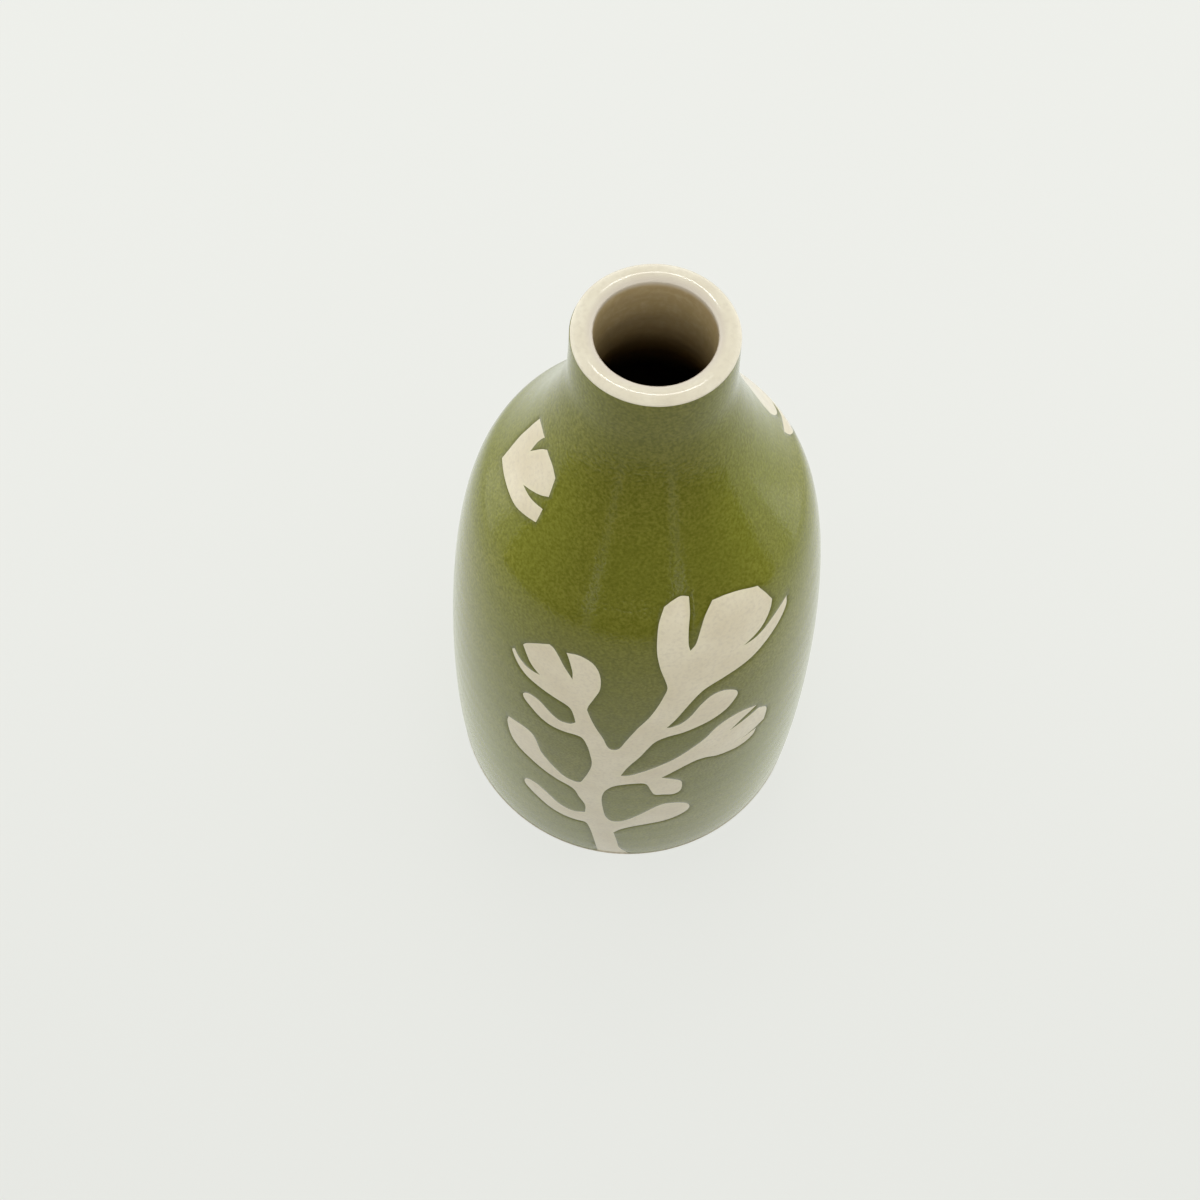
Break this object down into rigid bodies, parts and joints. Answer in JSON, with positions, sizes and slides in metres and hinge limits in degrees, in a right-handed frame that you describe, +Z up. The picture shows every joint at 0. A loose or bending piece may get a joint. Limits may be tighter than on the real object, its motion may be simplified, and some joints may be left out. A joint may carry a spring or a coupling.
{
  "type": "ceramic bud vase",
  "caption": "Small bottle-shaped stoneware vase with a narrow mouth, green coat and pale stencilled blossom, to hold one or a few stems.",
  "frame": {"origin": "centre of the foot, on the plane that the vase stands on", "axes": "+Z up the vase's axis of turning; -Y is the front, with the tall spray; -X is the side with the single shoulder blossom"},
  "size_m": [0.0776, 0.0776, 0.1405],
  "materials": {
    "bare_clay": "unglazed pale stoneware, fine grain, matt",
    "green_glaze": "glossy olive green with fine paler mottling, darker where it pools",
    "clear_glazed_clay": "pale clay under clear gloss glaze, faint speckle",
    "rim_glaze": "cream, clear gloss glaze",
    "liner_glaze": "tan clay under clear satin glaze, throwing rings"
  },
  "bodies": {
    "root": {"clay_body": "bare_clay", "green_coat": "green_glaze", "front_spray": "clear_glazed_clay", "shoulder_blossom": "clear_glazed_clay", "back_spray": "clear_glazed_clay", "rim_glaze": "rim_glaze", "inner_glaze": "liner_glaze"}
  },
  "joints": []
}
